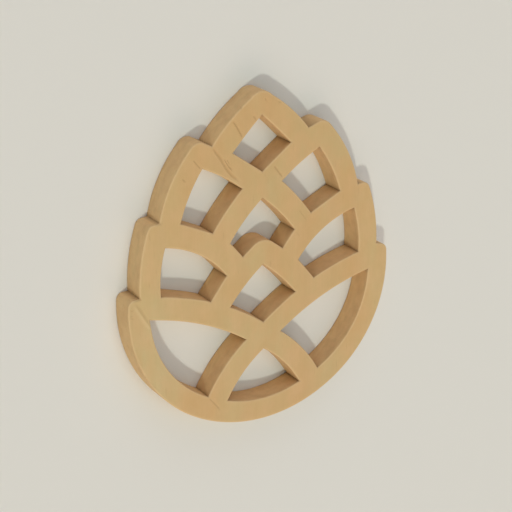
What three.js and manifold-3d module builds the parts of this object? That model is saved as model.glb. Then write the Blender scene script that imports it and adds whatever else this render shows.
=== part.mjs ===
// Pierced pine cone panel for a wall: one board, cut right through between bars of nearly constant width.
// Millimetres. X runs across the panel, Z up, and the flat back lies on Y = 0 with the front toward -Y.
// The origin is on the back, at the middle of the crossing below the crown opening. The panel is the same left and right,
// but for the notches of the outline.
import * as THREE from "three";
import { mergeVertices } from "three/addons/utils/BufferGeometryUtils.js";
import Module from "manifold-3d";

// Driving sizes
const BOARD = 18; // thickness of the board
const EDGE = 0.8; // bevel along the front and back edge of every cut
const FACET = 6; // longest straight facet on a curved cut
const ROUND_FACET = 2.2; // the same on the small round ends of the scales

// Scale ends down the right side of the outline. Each is a round end (centre, radius, first and last angle in degrees),
// then a flank down to the notch that parts it from the next one. Rise is how far the flank bulges off its chord.
const SCALE_ENDS = [
  { centre: [0, 52.0], radius: 10.7, from: 90, to: 42, rise: 1.6, notch: [35.6, 33.1] },
  { centre: [46.0, 27.2], radius: 8.8, from: 102, to: 31, rise: 3.2, notch: [75.3, -12.8] },
  { centre: [79.6, -17.9], radius: 5.4, from: 95, to: 22, rise: 2.0, notch: [91.5, -58.3] },
  { centre: [94.6, -65.2], radius: 5.5, from: 68, to: 0, rise: 0, notch: [100.2, -71.5] },
];
// The left side has the same ends. Its notches, given here at mirrored places, sit a little off those on the right.
const LEFT_NOTCHES = [[37.0, 32.2], [76.0, -11.9], [91.7, -59.8], [100.2, -71.5]];
// The round bottom: one large arc on each side and a slightly flatter one between them.
const BASE = { centre: [5.2, -71.5], radius: 95, from: 0, to: -60.6, lowest: -168.0 };

// Openings on the centre line: corners down the right half, and the rise of the edge that leaves each of them.
const CENTRE_OPENINGS = {
  crown: { corners: [[0, 47.0], [21.9, 25.1], [0, 9.1]], rises: [0.4, 0] },
  heart: { corners: [[0, -9.1], [24.6, -35.5], [15.3, -46.8]], rises: [1.3, 0], end: { centre: [0, -50.6], radius: 12.3, from: 50 } },
  core: { corners: [[0, -55.3], [25.3, -80.4], [0, -96.6]], rises: [1.2, -0.5] },
  foot: { corners: [[0, -116.2], [28.5, -147.6], [0, -152.8]], rises: [2.6, 1.3] },
};
// Openings on the right side, which are mirrored to the left: corners in clockwise order, with the rise of each edge.
const SIDE_OPENINGS = {
  upper: { corners: [[44.2, 18.3], [60.8, -15.2], [37.6, -26.1], [15.2, 0]], rises: [1.6, 0, -0.8, 1.1] },
  middle: { corners: [[72.3, -29.4], [76.3, -62.0], [40.1, -73.2], [27.8, -57.6]], rises: [1.6, -0.9, 0, 5.0] },
  lower: { corners: [[84.6, -76.4], [43.4, -141.0], [13.6, -106.4]], rises: [10.4, -2.4, 4.2] },
};

const v = ([x, z]) => new THREE.Vector2(x, z);
const mirror = (points) => points.map((p) => new THREE.Vector2(-p.x, p.y)).reverse();

// Points of a round end, both ends included.
function roundEnd({ centre, radius, from, to }, facet = ROUND_FACET) {
  const a = THREE.MathUtils.degToRad(from),
    b = THREE.MathUtils.degToRad(to);
  const steps = Math.max(2, Math.ceil((Math.abs(b - a) * radius) / facet));
  return new THREE.ArcCurve(centre[0], centre[1], radius, a, b, b < a).getPoints(steps);
}

// Points after p, up to q, along the arc that rises off the chord to the left of the way from p to q.
function edge(p, q, rise) {
  if (Math.abs(rise) < 1e-6) return [q];
  const chord = q.clone().sub(p),
    length = chord.length(),
    side = new THREE.Vector2(-chord.y, chord.x).divideScalar(length).multiplyScalar(Math.sign(rise));
  const h = Math.abs(rise),
    radius = (length * length) / (8 * h) + h / 2;
  const centre = p.clone().add(q).multiplyScalar(0.5).addScaledVector(side, h - radius);
  const a = Math.atan2(p.y - centre.y, p.x - centre.x);
  let turn = Math.atan2(q.y - centre.y, q.x - centre.x) - a;
  turn -= 2 * Math.PI * Math.round(turn / (2 * Math.PI));
  const steps = Math.max(2, Math.ceil((Math.abs(turn) * radius) / FACET));
  const points = new THREE.ArcCurve(centre.x, centre.y, radius, a, a + turn, turn < 0).getPoints(steps).slice(1);
  points[points.length - 1] = q;
  return points;
}

// A closed ring from its right half, whose first and last points are on the centre line, and its left half drawn to the right.
const bothHalves = (half, other = half) => [...half, ...mirror(other).slice(1, -1)];

// Right half of the outline, from the tip to the lowest point, with the given notches.
function outlineHalf(notches) {
  const half = [];
  SCALE_ENDS.forEach((end, i) => {
    half.push(...roundEnd(end));
    half.push(...edge(half.at(-1), v(notches[i]), end.rise));
  });
  half.push(...roundEnd(BASE, FACET).slice(1));
  const low = half.at(-1);
  // The bottom arc is drawn whole, so that it is level at its lowest point, and only its right half is kept.
  const depth = low.y - BASE.lowest;
  const whole = edge(low, new THREE.Vector2(-low.x, low.y), depth);
  half.push(...whole.filter((p) => p.x > FACET / 4), new THREE.Vector2(0, BASE.lowest));
  return half;
}
const outline = () => bothHalves(outlineHalf(SCALE_ENDS.map((end) => end.notch)), outlineHalf(LEFT_NOTCHES));

function centreOpening({ corners, rises, end }) {
  const half = [v(corners[0])];
  corners.slice(1).forEach((c, i) => half.push(...edge(half.at(-1), v(c), rises[i])));
  // The scale below reaches into this opening with its own round end.
  if (end) half.push(...roundEnd({ ...end, to: 90 }));
  return bothHalves(half);
}

function sideOpening({ corners, rises }) {
  const ring = [];
  corners.forEach((c, i) => ring.push(...edge(v(c), v(corners[(i + 1) % corners.length]), rises[i])));
  return ring;
}

// A ring moved outward by a distance, with mitred corners. A negative distance moves it inward.
function offset(ring, distance) {
  const turn = THREE.ShapeUtils.isClockWise(ring) ? 1 : -1;
  return ring.map((p, i) => {
    const before = p.clone().sub(ring.at(i - 1)).normalize(),
      after = ring[(i + 1) % ring.length].clone().sub(p).normalize();
    const out = new THREE.Vector2(-before.y - after.y, before.x + after.x).multiplyScalar(turn);
    return p.clone().addScaledVector(out, (2 * distance) / out.lengthSq());
  });
}

// A closed solid through a ring at several depths: each layer is [distance behind the front plane's zero, outward offset].
function layered(ring, layers) {
  const rings = layers.map(([depth, grow]) => offset(ring, grow).map((p) => [p.x, -depth, p.y])),
    n = ring.length;
  const cap = THREE.ShapeUtils.triangulateShape(ring.slice(), []);
  const faces = [];
  const clockwise = THREE.ShapeUtils.isClockWise(ring);
  const add = (a, b, c) => faces.push(...(clockwise ? [a, c, b] : [a, b, c]));
  const last = (rings.length - 1) * n;
  for (const [a, b, c] of cap) {
    faces.push(...orient(rings[0], a, b, c, 1));
    faces.push(...orient(rings.at(-1), a, b, c, -1).map((k) => k + last));
  }
  for (let r = 0; r + 1 < rings.length; r++)
    for (let i = 0; i < n; i++) {
      const j = (i + 1) % n;
      add(r * n + i, r * n + j, (r + 1) * n + i);
      add(r * n + j, (r + 1) * n + j, (r + 1) * n + i);
    }
  const geometry = new THREE.BufferGeometry();
  geometry.setAttribute("position", new THREE.Float32BufferAttribute(rings.flat(2), 3));
  geometry.setIndex(faces);
  return geometry;
}
// A triangle of a cap, wound so that its normal points along +Y (side 1) or -Y (side -1).
function orient(ring, a, b, c, side) {
  const [p, q, r] = [ring[a], ring[b], ring[c]];
  const up = (q[2] - p[2]) * (r[0] - p[0]) - (q[0] - p[0]) * (r[2] - p[2]);
  return up * side > 0 ? [a, b, c] : [a, c, b];
}

const wasm = await Module();
wasm.setup();
function solid(geometry) {
  const merged = mergeVertices(geometry, 1e-4);
  return new wasm.Manifold(
    new wasm.Mesh({
      numProp: 3,
      vertProperties: merged.attributes.position.array,
      triVerts: new Uint32Array(merged.index.array),
    }),
  );
}

// The board, then each opening cut out of it. The cutters flare past both faces, which leaves the bevel.
const PAST = 1; // how far a cutter runs past each face
let board = solid(
  layered(outline(), [
    [0, -EDGE],
    [EDGE, 0],
    [BOARD - EDGE, 0],
    [BOARD, -EDGE],
  ]),
);
const cutter = (ring) =>
  solid(
    layered(ring, [
      [-PAST, EDGE + PAST],
      [EDGE, 0],
      [BOARD - EDGE, 0],
      [BOARD + PAST, EDGE + PAST],
    ]),
  );
for (const opening of Object.values(CENTRE_OPENINGS)) board = board.subtract(cutter(centreOpening(opening)));
for (const opening of Object.values(SIDE_OPENINGS)) {
  const ring = sideOpening(opening);
  board = board.subtract(cutter(ring)).subtract(cutter(mirror(ring)));
}

// Back to a three.js geometry with flat faces.
const cut = board.getMesh();
const pierced = new THREE.BufferGeometry();
const places = new Float32Array(cut.numVert * 3);
for (let i = 0; i < cut.numVert; i++) places.set(cut.vertProperties.subarray(i * cut.numProp, i * cut.numProp + 3), i * 3);
pierced.setAttribute("position", new THREE.BufferAttribute(places, 3));
pierced.setIndex(new THREE.BufferAttribute(cut.triVerts, 1));
const faceted = pierced.toNonIndexed();
faceted.computeVertexNormals();

const panel = new THREE.Mesh(faceted, new THREE.MeshStandardMaterial({ color: 0xc6a26f, roughness: 0.62, metalness: 0 }));
panel.name = "pine_cone_panel";

const plaque = new THREE.Group();
plaque.name = "pine_cone_wall_plaque";
plaque.add(panel);
export default plaque;
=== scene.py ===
import math

import bpy
import numpy as np
from mathutils import Matrix, Vector, kdtree
from mathutils.geometry import delaunay_2d_cdt


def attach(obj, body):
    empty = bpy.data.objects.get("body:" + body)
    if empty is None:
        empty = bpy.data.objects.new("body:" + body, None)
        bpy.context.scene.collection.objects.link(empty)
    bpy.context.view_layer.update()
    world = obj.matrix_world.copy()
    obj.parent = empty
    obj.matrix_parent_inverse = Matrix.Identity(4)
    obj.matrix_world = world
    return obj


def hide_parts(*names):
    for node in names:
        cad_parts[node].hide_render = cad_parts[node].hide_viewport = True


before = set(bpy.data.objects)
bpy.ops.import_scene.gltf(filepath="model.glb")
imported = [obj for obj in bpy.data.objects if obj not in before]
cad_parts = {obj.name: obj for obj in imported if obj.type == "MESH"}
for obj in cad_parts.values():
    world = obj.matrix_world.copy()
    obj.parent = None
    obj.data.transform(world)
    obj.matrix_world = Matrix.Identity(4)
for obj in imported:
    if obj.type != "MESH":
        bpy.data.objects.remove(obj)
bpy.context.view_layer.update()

MM = 0.001

# ---------------------------------------------------------------- sizes, in millimetres, in the part's own frame
BOARD = 18.0
FRONT_ROUND = 1.25  # how far in from every cut the front starts to fall off,
FRONT_DROP = 0.6  # and how far down it has come at the cut
BACK_ROUND = 0.6
STEP = 1.0  # spacing of the points along every cut
GRID = 1.5  # spacing of the points over the front
BACK_GRID = 6.0

SCALE_ENDS = [
    dict(centre=(0, 52.0), radius=10.7, start=90, stop=42, rise=1.6, notch=(35.6, 33.1)),
    dict(centre=(46.0, 27.2), radius=8.8, start=102, stop=31, rise=3.2, notch=(75.3, -12.8)),
    dict(centre=(79.6, -17.9), radius=5.4, start=95, stop=22, rise=2.0, notch=(91.5, -58.3)),
    dict(centre=(94.6, -65.2), radius=5.5, start=68, stop=0, rise=0, notch=(100.2, -71.5)),
]
LEFT_NOTCHES = [(37.0, 32.2), (76.0, -11.9), (91.7, -59.8), (100.2, -71.5)]  # at mirrored places
BASE = dict(centre=(5.2, -71.5), radius=95, start=0, stop=-60.6, lowest=-168.0)
CENTRE_OPENINGS = dict(
    crown=dict(corners=[(0, 47.0), (21.9, 25.1), (0, 9.1)], rises=[0.4, 0]),
    heart=dict(corners=[(0, -9.1), (24.6, -35.5), (15.3, -46.8)], rises=[1.3, 0], end=dict(centre=(0, -50.6), radius=12.3, start=50, stop=90)),
    core=dict(corners=[(0, -55.3), (25.3, -80.4), (0, -96.6)], rises=[1.2, -0.5]),
    foot=dict(corners=[(0, -116.2), (28.5, -147.6), (0, -152.8)], rises=[2.6, 1.3]),
)
SIDE_OPENINGS = dict(
    upper=dict(corners=[(44.2, 18.3), (60.8, -15.2), (37.6, -26.1), (15.2, 0)], rises=[1.6, 0, -0.8, 1.1]),
    middle=dict(corners=[(72.3, -29.4), (76.3, -62.0), (40.1, -73.2), (27.8, -57.6)], rises=[1.6, -0.9, 0, 5.0]),
    lower=dict(corners=[(84.6, -76.4), (43.4, -141.0), (13.6, -106.4)], rises=[10.4, -2.4, 4.2]),
)

# Marks cut or scraped into the front. "groove" is a narrow line, "lap" a line whose right-hand side, going along it,
# steps down over the given width and comes back up to the surface over the given reach. A swell lets the left-hand side
# fall away from it a little as well. A painted highlight beside it, a paler line, is given as strength, place to the
# right, width.
# Grooves are also darkened with painted shade. All in millimetres.
MARKS = [
    dict(kind="groove", line=[(-36.6, 31.4), (-33.6, 26.8), (-30.5, 22.3), (-28.2, 18.2), (-26.2, 14.6), (-22.9, 10.5), (-19.3, 7.2), (-16.6, 4.8)], depth=0.50, width=0.75),
    dict(kind="lap", line=[(-36.6, 31.4), (-33.6, 26.8), (-30.5, 22.3), (-28.2, 18.2), (-26.2, 14.6), (-22.9, 10.5), (-19.3, 7.2), (-16.6, 4.8)], depth=0.60, width=2.0, reach=8.0, crest_highlight=(0.9, 1.5, 0.6)),
    dict(kind="groove", line=[(-28.3, 22.6), (-26.8, 19.6), (-25.0, 16.8), (-22.2, 13.3)], depth=0.40, width=0.45),
    dict(kind="groove", line=[(-26.2, 21.8), (-25.2, 19.7), (-24.4, 18.2)], depth=0.25, width=0.40),
    dict(kind="groove", line=[(-21.6, 46.4), (-19.0, 42.7), (-15.7, 36.6), (-14.4, 34.0)], depth=0.50, width=0.55),
    dict(kind="groove", line=[(-50.8, 25.6), (-46.8, 20.6), (-44.8, 18.2)], depth=0.28, width=0.50),
    dict(kind="groove", line=[(9.0, 11.6), (12.3, 6.9), (15.9, 2.3)], depth=0.36, width=0.55),
    dict(kind="lap", line=[(9.0, 11.6), (12.3, 6.9), (15.9, 2.3)], depth=0.30, width=1.4, reach=5.0),
    dict(kind="groove", line=[(-6.3, 47.4), (-3.8, 43.8)], depth=0.35, width=0.5),
    dict(kind="lap", line=[(-82.6, -82.8), (-86.4, -77.0), (-89.5, -71.6), (-92.2, -66.8), (-95.4, -62.0)], depth=0.85, width=3.0, reach=10.0, swell=0.26, crest_highlight=(1.5, -1.6, 0.8)),
    dict(kind="groove", line=[(-92.2, -59.5), (-90.4, -60.9)], depth=0.50, width=0.55),
    dict(kind="groove", line=[(-76.4, -11.6), (-75.0, -12.6)], depth=0.40, width=0.50),
    dict(kind="groove", line=[(-98.8, -90.0), (-97.6, -95.5), (-95.9, -100.0), (-94.3, -103.2), (-91.6, -106.9)], depth=0.20, width=0.6, crest_highlight=(1.2, 0.9, 0.6)),
    dict(kind="groove", line=[(-91.4, -112.0), (-89.8, -114.3), (-87.4, -118.0), (-84.4, -122.2), (-79.8, -127.8)], depth=0.20, width=0.6, crest_highlight=(1.2, 0.9, 0.6)),
    dict(kind="groove", line=[(-43.0, -141.8), (-38.5, -147.4), (-34.4, -153.0)], depth=0.26, width=0.6),
    dict(kind="groove", line=[(25.6, -37.2), (29.0, -41.0)], depth=0.12, width=0.5),
    dict(kind="groove", line=[(28.1, -22.4), (34.4, -31.2)], depth=0.16, width=0.5),
    dict(kind="groove", line=[(-99.2, -66.7), (-97.2, -66.8)], depth=0.22, width=0.35),
    dict(kind="groove", line=[(-99.3, -70.3), (-97.2, -70.4)], depth=0.20, width=0.35),
    dict(kind="groove", line=[(-99.3, -71.8), (-97.6, -72.0)], depth=0.18, width=0.35),
    dict(kind="groove", line=[(-15.8, 54.2), (-15.2, 53.6)], depth=0.35, width=0.4),
    dict(kind="groove", line=[(13.0, 53.8), (13.9, 53.2)], depth=0.35, width=0.5),
    dict(kind="groove", line=[(-57.7, 13.4), (-57.4, 13.1)], depth=0.35, width=0.5),
    dict(kind="groove", line=[(3.0, 56.9), (3.3, 55.9)], depth=0.3, width=0.4),
    dict(kind="groove", line=[(-48.6, 13.3), (-48.4, 13.1)], depth=0.28, width=0.4),
]


# ---------------------------------------------------------------- contours
def round_end(end):
    a, b = math.radians(end["start"]), math.radians(end["stop"])
    n = max(3, math.ceil(abs(b - a) * end["radius"] / STEP))
    (cx, cz), r = end["centre"], end["radius"]
    return [(cx + r * math.cos(a + (b - a) * i / n), cz + r * math.sin(a + (b - a) * i / n)) for i in range(n + 1)]


def edge(p, q, rise):
    """Points after p up to q, on an arc that rises off the chord to the left of the way from p to q."""
    length = math.hypot(q[0] - p[0], q[1] - p[1])
    if abs(rise) < 1e-6:
        n = max(1, round(length / STEP))
        return [(p[0] + (q[0] - p[0]) * i / n, p[1] + (q[1] - p[1]) * i / n) for i in range(1, n)] + [q]
    sign, h = math.copysign(1, rise), abs(rise)
    side = (-(q[1] - p[1]) / length * sign, (q[0] - p[0]) / length * sign)
    radius = length * length / (8 * h) + h / 2
    c = ((p[0] + q[0]) / 2 + side[0] * (h - radius), (p[1] + q[1]) / 2 + side[1] * (h - radius))
    a = math.atan2(p[1] - c[1], p[0] - c[0])
    turn = math.atan2(q[1] - c[1], q[0] - c[0]) - a
    turn -= 2 * math.pi * round(turn / (2 * math.pi))
    n = max(2, math.ceil(abs(turn) * radius / STEP))
    return [(c[0] + radius * math.cos(a + turn * i / n), c[1] + radius * math.sin(a + turn * i / n)) for i in range(1, n)] + [q]


def mirror(points):
    return [(-x, z) for x, z in reversed(points)]


def both_halves(half, other=None):
    return half + mirror(other or half)[1:-1]


def outline_half(notches):
    half = []
    for end, notch in zip(SCALE_ENDS, notches):
        half += round_end(end)
        half += edge(half[-1], notch, end["rise"])
    half += round_end(BASE)[1:]
    low = half[-1]
    whole = edge(low, (-low[0], low[1]), low[1] - BASE["lowest"])
    return half + [p for p in whole if p[0] > STEP / 4] + [(0, BASE["lowest"])]


def outline():
    return both_halves(outline_half([end["notch"] for end in SCALE_ENDS]), outline_half(LEFT_NOTCHES))


def centre_opening(o):
    half = [o["corners"][0]]
    for corner, rise in zip(o["corners"][1:], o["rises"]):
        half += edge(half[-1], corner, rise)
    if "end" in o:
        first = round_end(o["end"])
        half += edge(half[-1], first[0], 0)[:-1] + first
    return both_halves(half)


def side_opening(o):
    ring, corners = [], o["corners"]
    for i, c in enumerate(corners):
        ring += edge(c, corners[(i + 1) % len(corners)], o["rises"][i])
    return ring


def winding(ring):
    x, z = np.array(ring).T
    return math.copysign(1, float(np.sum(x * np.roll(z, -1) - np.roll(x, -1) * z)))


def outward(ring):
    """Mitred unit step away from the ring's inside, at each point."""
    p = np.array(ring, float)
    before = p - np.roll(p, 1, 0)
    after = np.roll(p, -1, 0) - p
    before /= np.linalg.norm(before, axis=1)[:, None]
    after /= np.linalg.norm(after, axis=1)[:, None]
    side = np.stack([before[:, 1] + after[:, 1], -before[:, 0] - after[:, 0]], -1) * winding(ring)
    square = np.maximum((side**2).sum(1), 0.55)
    return side * (2 / square)[:, None]


def inside(ring, pts):
    """Which of pts lie in the ring."""
    x, z = pts[:, 0], pts[:, 1]
    hit = np.zeros(len(pts), bool)
    r = np.array(ring, float)
    for (ax, az), (bx, bz) in zip(r, np.roll(r, -1, 0)):
        cross = (az > z) != (bz > z)
        if cross.any():
            at = ax + (z - az) * (bx - ax) / ((bz - az) or 1e-12)
            hit ^= cross & (x < at)
    return hit


RIM = outline()
OPENINGS = [centre_opening(o) for o in CENTRE_OPENINGS.values()]
for o in SIDE_OPENINGS.values():
    OPENINGS += [side_opening(o), mirror(side_opening(o))]
CUTS = [(RIM, -1)] + [(ring, 1) for ring in OPENINGS]  # ring, and the sign of the step from it into the wood


def in_wood(pts):
    ok = inside(RIM, pts)
    for ring in OPENINGS:
        ok &= ~inside(ring, pts)
    return ok


# ---------------------------------------------------------------- surface relief
def ripple(x, z, size, phase=0.0):
    """Smooth irregular waves of about that size, between -1 and 1. No random numbers, so each run is the same."""
    k = 2 * math.pi / size
    s = (
        np.sin(k * (0.93 * x + 0.31 * z) + phase)
        + np.sin(k * (-0.41 * x + 0.78 * z) * 1.31 + 1.7 * phase + 1.1)
        + np.sin(k * (0.55 * x - 0.62 * z) * 1.83 + 2.3 * phase + 2.9)
        + np.sin(k * (0.12 * x + 1.02 * z) * 0.67 + 0.6 * phase + 4.2)
    )
    return s / 4


def along(line, x, z):
    """Distance to a line, signed to its right-hand side, and the share of its length where the nearest point lies."""
    pts = np.array(line, float)
    seg = np.diff(pts, axis=0)
    lengths = np.linalg.norm(seg, axis=1)
    total, done = lengths.sum(), 0.0
    best = np.full(x.shape, 1e9)
    signed = np.zeros(x.shape)
    share = np.zeros(x.shape)
    for a, s, l in zip(pts[:-1], seg, lengths):
        dx, dz = x - a[0], z - a[1]
        t = np.clip((dx * s[0] + dz * s[1]) / (l * l), 0, 1)
        d = np.hypot(dx - t * s[0], dz - t * s[1])
        right = dx * s[1] - dz * s[0]
        nearer = d < best
        best = np.where(nearer, d, best)
        signed = np.where(nearer, np.where(right >= 0, d, -d), signed)
        share = np.where(nearer, (done + t * l) / total, share)
        done += l
    return signed, share


def relief(x, z):
    """Depth of the front below its plane, how much painted shade darkens a groove there, and how much painted highlight
    pales it.
    """
    depth = 0.045 * ripple(x, z, 46.0, 0.4) + 0.018 * ripple(x, z, 13.0, 2.1) + 0.05
    groove_shade, crest_highlight = np.zeros(x.shape), np.zeros(x.shape)
    for m in MARKS:
        d, share = along(m["line"], x, z)
        fade = np.clip(share / 0.14, 0, 1) * np.clip((1 - share) / 0.18, 0, 1)
        # Painted highlight: a paler line beside the line, as on a lit crest.
        if "crest_highlight" in m:
            strength, place, wide = m["crest_highlight"]
            crest_highlight = np.maximum(crest_highlight, strength * np.exp(-(((d - place) / wide) ** 2)) * fade)
        short = math.dist(m["line"][0], m["line"][-1]) < 2.0
        if short:
            fade = 1.0
        if m["kind"] == "groove":
            cut = np.exp(-((d / m["width"]) ** 2)) * fade
            depth += m["depth"] * cut
            # Painted shade along the groove, stronger for deeper grooves.
            groove_shade = np.maximum(groove_shade, cut * min(1.0, m["depth"] / 0.4))
        else:
            step = np.clip(d / m["width"] + 0.5, 0, 1)
            low = step * step * (3 - 2 * step) * np.exp(-np.maximum(d, 0) / (m["reach"] * 0.5)) * fade
            low = np.where(np.abs(d) > 3.5 * m["reach"], 0, low)
            depth += m["depth"] * low
            if "swell" in m:  # the high side falls away gently too, which leaves a soft crest
                back = np.maximum(-d - m["width"] * 0.5, 0) / 2.4
                depth += m["swell"] * back * np.exp(1 - back) * fade
    return depth, groove_shade, crest_highlight


# ---------------------------------------------------------------- the panel
def mesh_points():
    """Points inside the front that carry the relief: a regular grid, and rows along every mark."""
    edge_points = np.concatenate([np.array(r) + sign * FRONT_ROUND * outward(r) for r, sign in CUTS])
    near_edge = kdtree.KDTree(len(edge_points))
    for i, p in enumerate(edge_points):
        near_edge.insert((p[0], p[1], 0), i)
    near_edge.balance()
    rows = []
    for m in MARKS:
        pts = np.array(m["line"], float)
        seg = np.diff(pts, axis=0)
        for a, s in zip(pts[:-1], seg):
            l = float(np.linalg.norm(s))
            side = np.array([s[1], -s[0]]) / l
            for t in np.arange(0, l, 0.55):
                for off in (-2.2, -1.7, -1.25, -0.8, -0.45, -0.2, 0.0, 0.2, 0.45, 0.8, 1.25, 1.7, 2.2):
                    rows.append(a + s * (t / l) + side * off)
    rows = np.array(rows)
    kept, seen = [], set()
    for p in rows:
        key = (round(p[0] / 0.2), round(p[1] / 0.2))
        if key not in seen:
            seen.add(key)
            kept.append(p)
    rows = np.array(kept)
    lo, hi = np.array(RIM).min(0), np.array(RIM).max(0)
    xs = np.arange(lo[0], hi[0], GRID)
    zs = np.arange(lo[1], hi[1], GRID * 0.866)
    gx, gz = np.meshgrid(xs, zs)
    gx = gx + (np.arange(len(zs)) % 2)[:, None] * GRID / 2
    grid = np.stack([gx.ravel(), gz.ravel()], -1)
    near_row = kdtree.KDTree(len(rows))
    for i, p in enumerate(rows):
        near_row.insert((p[0], p[1], 0), i)
    near_row.balance()
    grid = grid[in_wood(grid)]
    grid = np.array([p for p in grid if near_row.find((p[0], p[1], 0))[2] > 0.8 and near_edge.find((p[0], p[1], 0))[2] > 0.75])
    rows = rows[in_wood(rows)]

    def clear(p):
        at, _, far = near_edge.find((p[0], p[1], 0))
        return far > 0.35

    # A point between an inset ring and its cut would fold the edge, so it is left out as well.
    near_cut = kdtree.KDTree(sum(len(r) for r, _ in CUTS))
    i = 0
    for r, _ in CUTS:
        for p in r:
            near_cut.insert((p[0], p[1], 0), i)
            i += 1
    near_cut.balance()
    rows = np.array([p for p in rows if clear(p) and near_cut.find((p[0], p[1], 0))[2] > FRONT_ROUND + 0.35])
    grid = np.array([p for p in grid if near_cut.find((p[0], p[1], 0))[2] > FRONT_ROUND + 0.55])
    return np.concatenate([grid, rows])


def fill(rings, loose):
    """Triangles between rings, through the loose points: all points, and triples of their numbers."""
    pts, edges = [], []
    for ring in rings:
        first = len(pts)
        pts += [Vector((float(p[0]), float(p[1]))) for p in ring]
        edges += [(first + i, first + (i + 1) % len(ring)) for i in range(len(ring))]
    fixed = len(pts)
    pts += [Vector((float(p[0]), float(p[1]))) for p in loose]
    # Only what the rings enclose, so no thin sliver is left along a straight run of the rim.
    out, _, faces, source, _, _ = delaunay_2d_cdt(pts, edges, [], 1, 1e-6)
    flat = np.array([(p.x, p.y) for p in out])
    tri = np.array([f for f in faces if len(f) == 3])
    mid = flat[tri].mean(1)
    keep = inside(rings[0], mid)
    for ring in rings[1:]:
        keep &= ~inside(ring, mid)
    back = [s[0] if s else -1 for s in source]
    return flat, tri[keep], back, fixed


def wander(ring, depth):
    """How far a cut strays from its line at that depth: the wide waver of the saw and the fine marks of its teeth."""
    p = np.array(ring, float)
    run = np.concatenate([[0], np.cumsum(np.linalg.norm(np.diff(p, axis=0), axis=1))])
    wide = ripple(run + 0.15 * depth, np.full(run.shape, depth * 0.6), 23.0, len(ring) * 0.01)
    fine = ripple(run * 1.0 + 0.05 * depth, np.full(run.shape, depth * 0.1), 3.1, len(ring) * 0.03)
    return 0.07 * wide + 0.035 * fine


def into_corner(ring, sign, reach):
    """Nearness of each point to a sharp inner corner of the cut, where the saw turned and where painted shade darkens
    the sides: 1 at the corner, 0 away from it.
    """
    p = np.array(ring, float)
    before, after = p - np.roll(p, 1, 0), np.roll(p, -1, 0) - p
    turn = np.arctan2(before[:, 0] * after[:, 1] - before[:, 1] * after[:, 0], (before * after).sum(1)) * winding(ring) * sign
    sharp = p[turn > math.radians(28)]
    if not len(sharp):
        return np.zeros(len(p))
    far = np.min(np.hypot(p[:, None, 0] - sharp[None, :, 0], p[:, None, 1] - sharp[None, :, 1]), axis=1)
    return np.exp(-far / reach)


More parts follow.
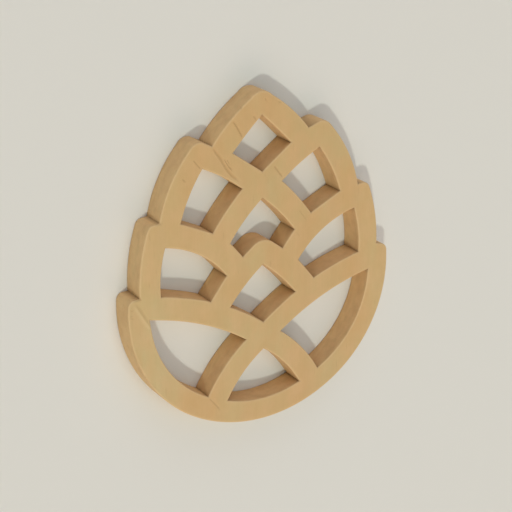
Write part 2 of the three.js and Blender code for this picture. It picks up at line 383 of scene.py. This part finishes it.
def build_panel():
    verts, faces, wall, highlight_and_wear, groove_shades, corners = [], [], [], [], [], []
    front_ids, back_ids = [], []
    turns = [k / 5 for k in range(6)]
    for ring, sign in CUTS:
        p, step = np.array(ring, float), outward(ring) * sign
        layers = []  # inset into the wood, depth behind the front plane, share of wall, share of painted edge highlight with wear
        for t in turns:
            a = t * math.pi / 2
            layers.append((FRONT_ROUND * (1 - math.sin(a)), FRONT_DROP * (1 - math.cos(a)), t, math.sin(a * 2) * 0.8 + 0.2))
        for k in range(1, 7):
            layers.append((None, FRONT_DROP + (BOARD - FRONT_DROP - BACK_ROUND) * k / 7, 1.0, 0.0))
        for t in (1.0, 0.6, 0.3, 0.0):
            a = t * math.pi / 2
            layers.append((BACK_ROUND * (1 - math.sin(a)), BOARD - BACK_ROUND * (1 - math.cos(a)), t, 0.3))
        first = len(verts)
        n = len(ring)
        # Painted shade, with saw scorch, darkens the sides into sharp inner corners; the notches of the rim are open to
        # the air, so only their very bottom gets it.
        corner_shade = into_corner(ring, sign, 1.5) if ring is not RIM else 0.9 * into_corner(ring, sign, 0.8)
        for k, (inset, deep, side, edge_highlight_and_wear) in enumerate(layers):
            if inset is None:
                at = p + step * np.clip(wander(ring, deep), -0.2, 0.2)[:, None] * 0.8
            else:
                at = p + step * inset
            sunk, groove_shade, crest_highlight = relief(at[:, 0], at[:, 1])
            share = max(0.0, 1 - deep / 2.75) if deep < BOARD / 2 else 0.0
            for i in range(n):
                verts.append((at[i, 0], -BOARD + deep + float(sunk[i]) * share, at[i, 1]))
                wall.append(side)
                highlight_and_wear.append(max(edge_highlight_and_wear, float(crest_highlight[i]) * share))
                groove_shades.append(float(groove_shade[i]) * share)
                corners.append(float(corner_shade[i]) * side)
        flip = winding(ring) * sign > 0
        for k in range(len(layers) - 1):
            for i in range(n):
                j = (i + 1) % n
                a, b, c, d = first + k * n + i, first + k * n + j, first + (k + 1) * n + j, first + (k + 1) * n + i
                faces.append((a, b, c, d) if flip else (a, d, c, b))
        front_ids.append((first, n))
        back_ids.append((first + (len(layers) - 1) * n, n))

    def cap(ids, loose, front):
        rings = [[(verts[f + i][0], verts[f + i][2]) for i in range(n)] for f, n in ids]
        owner = [f + i for f, n in ids for i in range(n)]
        flat, tri, source, fixed = fill(rings, loose)
        number = {}
        used = sorted(set(tri.ravel().tolist()))
        sunk, groove_shade, crest_highlight = relief(flat[:, 0], flat[:, 1])
        for v in used:
            s = source[v]
            if 0 <= s < fixed:
                number[v] = owner[s]
            else:
                number[v] = len(verts)
                verts.append((flat[v, 0], -BOARD + float(sunk[v]) if front else 0.0, flat[v, 1]))
                wall.append(0.0)
                highlight_and_wear.append(float(crest_highlight[v]) if front else 0.0)
                groove_shades.append(float(groove_shade[v]) if front else 0.0)
                corners.append(0.0)
        for t in tri.tolist():
            a, b, c = (number[v] for v in t)
            ccw = (flat[t[1]][0] - flat[t[0]][0]) * (flat[t[2]][1] - flat[t[0]][1]) - (flat[t[1]][1] - flat[t[0]][1]) * (flat[t[2]][0] - flat[t[0]][0]) > 0
            if len({a, b, c}) == 3:
                faces.append((a, b, c) if ccw == front else (a, c, b))

    cap(front_ids, mesh_points(), True)
    lo, hi = np.array(RIM).min(0), np.array(RIM).max(0)
    gx, gz = np.meshgrid(np.arange(lo[0], hi[0], BACK_GRID), np.arange(lo[1], hi[1], BACK_GRID))
    loose = np.stack([gx.ravel(), gz.ravel()], -1)
    loose = loose[in_wood(loose)]
    edge_points = np.concatenate([np.array(r) for r, _ in CUTS])
    loose = np.array([p for p in loose if np.min(np.hypot(*(edge_points - p).T)) > 2.0])
    cap(back_ids, loose, False)

    mesh = bpy.data.meshes.new("pine_cone_carving")
    mesh.from_pydata([(x * MM, y * MM, z * MM) for x, y, z in verts], [], faces)
    mesh.validate()
    # Per point: share of wall, painted highlight with wear, painted shade in the grooves, painted shade with scorch in
    # the inner corners.
    for name, values in (("wall", wall), ("painted_highlight_and_wear", highlight_and_wear), ("groove_shade", groove_shades), ("corner", corners)):
        layer = mesh.attributes.new(name, "FLOAT", "POINT")
        layer.data.foreach_set("value", np.array(values, np.float32))
    mesh.polygons.foreach_set("use_smooth", np.ones(len(mesh.polygons), bool))
    mesh.set_sharp_from_angle(angle=math.radians(38))
    mesh.update()
    made = bpy.data.objects.new("pine_cone_carving", mesh)
    bpy.context.scene.collection.objects.link(made)
    return made


# ---------------------------------------------------------------- materials
class Graph:
    """Small helper for building a node tree."""

    def __init__(self, name):
        self.material = bpy.data.materials.new(name)
        self.material.use_nodes = True
        self.tree = self.material.node_tree
        self.tree.nodes.clear()

    def node(self, kind, **values):
        made = self.tree.nodes.new(kind)
        for k, v in values.items():
            if hasattr(made, k):
                setattr(made, k, v)
            else:
                made.inputs[k].default_value = v
        return made

    def link(self, a, b):
        self.tree.links.new(a, b)

    def noise(self, coord, scale, detail=2.0, roughness=0.5, distortion=0.0):
        n = self.node("ShaderNodeTexNoise")
        n.inputs["Scale"].default_value = scale
        n.inputs["Detail"].default_value = detail
        n.inputs["Roughness"].default_value = roughness
        n.inputs["Distortion"].default_value = distortion
        self.link(coord, n.inputs["Vector"])
        return n.outputs["Fac"]

    def stretch(self, coord, scale, turn=(0, 0, 0), shift=(0, 0, 0)):
        m = self.node("ShaderNodeMapping")
        m.inputs["Scale"].default_value = scale
        m.inputs["Rotation"].default_value = turn
        m.inputs["Location"].default_value = shift
        self.link(coord, m.inputs["Vector"])
        return m.outputs["Vector"]

    def ramp(self, fac, stops):
        r = self.node("ShaderNodeValToRGB")
        e = r.color_ramp.elements
        while len(e) > 1:
            e.remove(e[0])
        e[0].position, e[0].color = stops[0][0], (*stops[0][1], 1)
        for at, colour in stops[1:]:
            e.new(at).color = (*colour, 1)
        self.link(fac, r.inputs["Fac"])
        return r.outputs["Color"]

    def range(self, value, a, b, c, d):
        m = self.node("ShaderNodeMapRange")
        for k, v in zip(("From Min", "From Max", "To Min", "To Max"), (a, b, c, d)):
            m.inputs[k].default_value = v
        self.link(value, m.inputs["Value"])
        return m.outputs["Result"]

    def math(self, kind, a, b):
        m = self.node("ShaderNodeMath", operation=kind)
        for i, v in enumerate((a, b)):
            if isinstance(v, (int, float)):
                m.inputs[i].default_value = v
            else:
                self.link(v, m.inputs[i])
        return m.outputs[0]

    def mix(self, fac, a, b, blend="MIX"):
        m = self.node("ShaderNodeMix", data_type="RGBA", blend_type=blend)
        for at, v in ((m.inputs[0], fac), (m.inputs[6], a), (m.inputs[7], b)):
            if isinstance(v, (int, float)):
                at.default_value = v
            elif isinstance(v, tuple):
                at.default_value = (*v, 1)
            else:
                self.link(v, at)
        return m.outputs[2]

    def attribute(self, name):
        a = self.node("ShaderNodeAttribute", attribute_name=name)
        return a.outputs["Fac"]


def wood():
    g = Graph("pale_tan_wood")
    out = g.node("ShaderNodeOutputMaterial")
    shader = g.node("ShaderNodeBsdfPrincipled")
    g.link(shader.outputs["BSDF"], out.inputs["Surface"])
    at = g.node("ShaderNodeTexCoord").outputs["Object"]
    wall, highlight_and_wear, groove_shade, corner = g.attribute("wall"), g.attribute("painted_highlight_and_wear"), g.attribute("groove_shade"), g.attribute("corner")

    # Slow change of tone between yellow and orange tan, as in one sanded board.
    tone = g.noise(g.stretch(at, (1.0, 1.0, 0.55)), 26.0, 3.0, 0.55, 0.4)
    base = g.ramp(tone, [(0.28, (0.686, 0.413, 0.168)), (0.50, (0.665, 0.447, 0.193)), (0.72, (0.640, 0.479, 0.217))])
    cloud = g.noise(g.stretch(at, (1.0, 1.0, 0.8), shift=(3.1, 0.0, 1.7)), 70.0, 3.0, 0.6)
    base = g.mix(g.range(cloud, 0.40, 0.68, 0.0, 0.55), base, (0.737, 0.464, 0.218))
    # The lower part of the board and its left side are a little yellower, the right side a little more orange.
    place = g.node("ShaderNodeSeparateXYZ")
    g.link(at, place.inputs["Vector"])
    base = g.mix(g.range(place.outputs["Z"], 0.03, -0.15, 0.0, 1.0), g.mix(1.0, base, (1.0, 0.985, 0.97), "MULTIPLY"), g.mix(1.0, base, (1.005, 1.02, 1.045), "MULTIPLY"))
    lean = g.mix(g.range(place.outputs["X"], -0.08, 0.045, 0.0, 1.0), (1.0, 1.035, 1.045), (1.0, 0.972, 0.960))
    lean = g.mix(g.range(place.outputs["X"], 0.055, 0.09, 0.0, 1.0), lean, (1.0, 1.02, 1.025))
    base = g.mix(1.0, base, lean, "MULTIPLY")
    # Growth figure: long soft bands that run up the board.
    bend = g.noise(g.stretch(at, (1.0, 1.0, 0.16)), 34.0, 2.0, 0.5, 0.6)
    bands = g.node("ShaderNodeTexWave", wave_type="BANDS", bands_direction="X", wave_profile="SIN")
    bands.inputs["Scale"].default_value = 14.0
    bands.inputs["Distortion"].default_value = 5.0
    bands.inputs["Detail"].default_value = 2.5
    bands.inputs["Detail Scale"].default_value = 1.2
    g.link(g.stretch(at, (1.0, 1.0, 0.10), turn=(0, math.radians(4), 0)), bands.inputs["Vector"])
    figure = g.math("MULTIPLY", bands.outputs["Fac"], bend)
    base = g.mix(g.range(figure, 0.10, 0.60, 0.0, 0.13), base, (0.570, 0.350, 0.145))
    # Fibres and pores along the grain.
    fibre = g.noise(g.stretch(at, (1.0, 1.0, 0.055)), 1150.0, 3.0, 0.6)
    base = g.mix(g.range(fibre, 0.35, 0.75, 0.0, 0.10), base, (0.500, 0.300, 0.120))
    pores = g.noise(g.stretch(at, (1.0, 1.0, 0.13), shift=(7.7, 2.0, 0.3)), 620.0, 1.0, 0.4)
    pore = g.range(pores, 0.70, 0.80, 0.0, 1.0)
    base = g.mix(g.math("MULTIPLY", pore, 0.22), base, (0.400, 0.220, 0.085))
    # Small cloudy change of strength all over.
    small = g.noise(g.stretch(at, (1.0, 1.0, 0.7), shift=(0.6, 5.0, 2.2)), 210.0, 2.0, 0.55)
    base = g.mix(g.range(small, 0.32, 0.68, 0.0, 0.13), base, (0.590, 0.375, 0.150))
    # Sawn edges are a little paler, partly painted light standing in for the extra light on the sides, with faint marks
    # of the blade, and scorched red-brown and dull in places.
    blade = g.noise(g.stretch(at, (1.0, 0.10, 1.0)), 520.0, 2.0, 0.55)
    sawn_with_painted_light = g.mix(g.range(blade, 0.3, 0.7, 0.72, 0.88), base, (0.774, 0.519, 0.247))
    scorch = g.noise(g.stretch(at, (1.0, 1.6, 1.0), shift=(2.0, 0.4, 9.0)), 105.0, 3.0, 0.6)
    sawn_with_painted_light = g.mix(g.range(scorch, 0.42, 0.68, 0.0, 0.34), sawn_with_painted_light, (0.560, 0.320, 0.145))
    dull = g.noise(g.stretch(at, (1.0, 1.6, 1.0), shift=(8.0, 3.3, 1.0)), 125.0, 2.0, 0.5)
    sawn_with_painted_light = g.mix(g.range(dull, 0.50, 0.72, 0.0, 0.24), sawn_with_painted_light, (0.520, 0.380, 0.170))
    base = g.mix(wall, base, sawn_with_painted_light)
    # Painted shade, with some saw scorch, darkens the sides into the sharp inner corners.
    base = g.mix(g.math("MULTIPLY", corner, 0.74), base, (0.250, 0.140, 0.055))
    # Painted highlight with wear lightens the rounded edges and the crests; painted shade darkens the grooves a little.
    base = g.mix(g.math("MULTIPLY", highlight_and_wear, 0.17), base, (0.860, 0.620, 0.330))
    base = g.mix(g.math("MULTIPLY", groove_shade, 0.46), base, (0.420, 0.250, 0.100))
    g.link(base, shader.inputs["Base Color"])

    rough = g.range(g.noise(at, 180.0, 2.0, 0.5), 0.3, 0.7, 0.50, 0.62)
    g.link(g.math("ADD", rough, g.math("MULTIPLY", wall, 0.12)), shader.inputs["Roughness"])
    shader.inputs["Specular IOR Level"].default_value = 0.35

    height = g.math("ADD", g.math("MULTIPLY", fibre, 0.5), g.math("MULTIPLY", g.math("MULTIPLY", blade, wall), 1.2))
    height = g.math("SUBTRACT", height, g.math("MULTIPLY", pore, 0.4))
    bump = g.node("ShaderNodeBump")
    bump.inputs["Strength"].default_value = 0.25
    bump.inputs["Distance"].default_value = 0.00025
    g.link(height, bump.inputs["Height"])
    g.link(bump.outputs["Normal"], shader.inputs["Normal"])
    return g.material


def paint(name, colour, other, one_sided=False):
    """A matt painted surface of the stage, with a very faint roll of tone and texture."""
    g = Graph(name)
    out = g.node("ShaderNodeOutputMaterial")
    shader = g.node("ShaderNodeBsdfPrincipled")
    at = g.node("ShaderNodeTexCoord").outputs["Object"]
    g.link(g.mix(g.noise(at, 3.0, 2.0), colour, other), shader.inputs["Base Color"])
    shader.inputs["Roughness"].default_value = 0.95
    shader.inputs["Specular IOR Level"].default_value = 0.1
    if one_sided:
        seen_through = g.node("ShaderNodeBsdfTransparent")
        pick = g.node("ShaderNodeMixShader")
        g.link(g.node("ShaderNodeNewGeometry").outputs["Backfacing"], pick.inputs[0])
        g.link(shader.outputs["BSDF"], pick.inputs[1])
        g.link(seen_through.outputs["BSDF"], pick.inputs[2])
        g.link(pick.outputs["Shader"], out.inputs["Surface"])
    else:
        g.link(shader.outputs["BSDF"], out.inputs["Surface"])
    return g.material


panel = build_panel()
panel.data.materials.append(wood())
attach(panel, "root")
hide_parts("pine_cone_panel")

# The CAD node under it keeps a wood finish of its own.
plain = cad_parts["pine_cone_panel"]
plain.data.materials.clear()
plain.data.materials.append(panel.data.materials[0])


# ---------------------------------------------------------------- stage
def add(name, verts, faces, material):
    mesh = bpy.data.meshes.new(name)
    mesh.from_pydata(verts, [], faces)
    mesh.update()
    mesh.materials.append(material)
    made = bpy.data.objects.new(name, mesh)
    bpy.context.scene.collection.objects.link(made)
    return made


WALL_HALF, WALL_UP, WALL_DOWN, FLOOR_Z = 2.2, 1.4, -1.45, -1.45
# The wall leaves out what the panel covers, and its back lets the view through, so the panel's own back can be looked at.
border = [(-WALL_HALF / MM, WALL_DOWN / MM), (WALL_HALF / MM, WALL_DOWN / MM), (WALL_HALF / MM, WALL_UP / MM), (-WALL_HALF / MM, WALL_UP / MM)]
rings = [[tuple(q) for q in np.array(r) + sign * 1.0 * outward(r)] for r, sign in CUTS]
pts = [Vector(p) for p in border]
edges = [(i, (i + 1) % 4) for i in range(4)]
for ring in rings:
    first = len(pts)
    pts += [Vector((float(a), float(b))) for a, b in ring]
    edges += [(first + i, first + (i + 1) % len(ring)) for i in range(len(ring))]
out, _, tris, _, _, _ = delaunay_2d_cdt(pts, edges, [], 0, 1e-6)
flat = np.array([(p.x, p.y) for p in out])
tris = [t for t in tris if len(t) == 3]
mid = np.array([flat[list(t)].mean(0) for t in tris])
covered = inside(rings[0], mid)
for ring in rings[1:]:
    covered &= ~inside(ring, mid)
wall_faces = []
for t, hid in zip(tris, covered):
    if hid:
        continue
    a, b, c = (flat[v] for v in t)
    ccw = (b[0] - a[0]) * (c[1] - a[1]) - (b[1] - a[1]) * (c[0] - a[0]) > 0
    wall_faces.append(tuple(t) if ccw else (t[0], t[2], t[1]))
wall_object = add("stage_wall", [(x * MM, 0.0002, z * MM) for x, z in flat], wall_faces, paint("stage_wall_paint", (0.808, 0.775, 0.686), (0.803, 0.771, 0.682), one_sided=True))
floor_object = add(
    "stage_floor",
    [(-6, -6, FLOOR_Z), (6, -6, FLOOR_Z), (6, 6, FLOOR_Z), (-6, 6, FLOOR_Z)],
    [(0, 1, 2, 3)],
    paint("stage_floor_paint", (0.780, 0.755, 0.690), (0.770, 0.745, 0.680)),
)
floor_object.visible_shadow = False

# ---------------------------------------------------------------- light
scene = bpy.context.scene
world = bpy.data.worlds.new("studio")
world.use_nodes = True
world.node_tree.nodes["Background"].inputs["Color"].default_value = (0.943, 0.914, 0.975, 1)
world.node_tree.nodes["Background"].inputs["Strength"].default_value = 0.2125
scene.world = world


def sun(name, travels, strength, spread, colour=(1, 1, 1)):
    data = bpy.data.lights.new(name, "SUN")
    data.energy, data.angle, data.color = strength, math.radians(spread), colour
    made = bpy.data.objects.new(name, data)
    scene.collection.objects.link(made)
    made.rotation_mode = "QUATERNION"
    made.rotation_quaternion = Vector(travels).to_track_quat("-Z", "Y")
    made.location = -Vector(travels).normalized() * 2
    return made


def travels(azimuth, elevation):
    """The way light goes that comes from that azimuth (0 in front of the panel, plus to its right) and elevation."""
    a, e = math.radians(azimuth), math.radians(elevation)
    return (-math.sin(a) * math.cos(e), math.cos(a) * math.cos(e), -math.sin(e))


sun("key", (0.60, 1.0, 0.317), 0.846, 4.0, (0.932, 1.0, 0.960))
sun("front_soft", travels(0, 5), 0.651, 45.0, (0.624, 0.894, 1.0))
sun("low_fill", travels(0, -45), 0.776, 45.0, (0.975, 0.661, 0.548))
sun("high_fill", travels(0, 50), 0.321, 45.0, (0.976, 0.700, 0.751))
sun("top_soft", travels(0, 78), 0.526, 45.0, (0.797, 0.895, 1.0))

# ---------------------------------------------------------------- camera, at the photograph's viewing angle
CAMERA = (-513.12, -861.54, 329.68)
AZIMUTH, ELEVATION, ROLL, FOCAL_PIXELS = -31.033, 20.995, -0.504, 1605.0
az, el, roll = (math.radians(v) for v in (AZIMUTH, ELEVATION, ROLL))
back = Vector((math.sin(az) * math.cos(el), -math.cos(az) * math.cos(el), math.sin(el)))
level = (-back).cross(Vector((0, 0, 1))).normalized()
above = level.cross(-back)
right = math.cos(roll) * level + math.sin(roll) * above
up = -math.sin(roll) * level + math.cos(roll) * above
camera_data = bpy.data.cameras.new("camera")
camera_data.sensor_width = 36.0
camera_data.lens = 36.0 * FOCAL_PIXELS / 512
camera_data.clip_start, camera_data.clip_end = 0.05, 50
camera = bpy.data.objects.new("camera", camera_data)
turn = Matrix((right, up, back)).transposed().to_4x4()
camera.matrix_world = Matrix.Translation(Vector(CAMERA) * MM) @ turn
scene.collection.objects.link(camera)
scene.camera = camera

scene.view_settings.view_transform = "Standard"
scene.view_settings.look = "None"
scene.view_settings.exposure = 0.0
scene.view_settings.gamma = 1.0
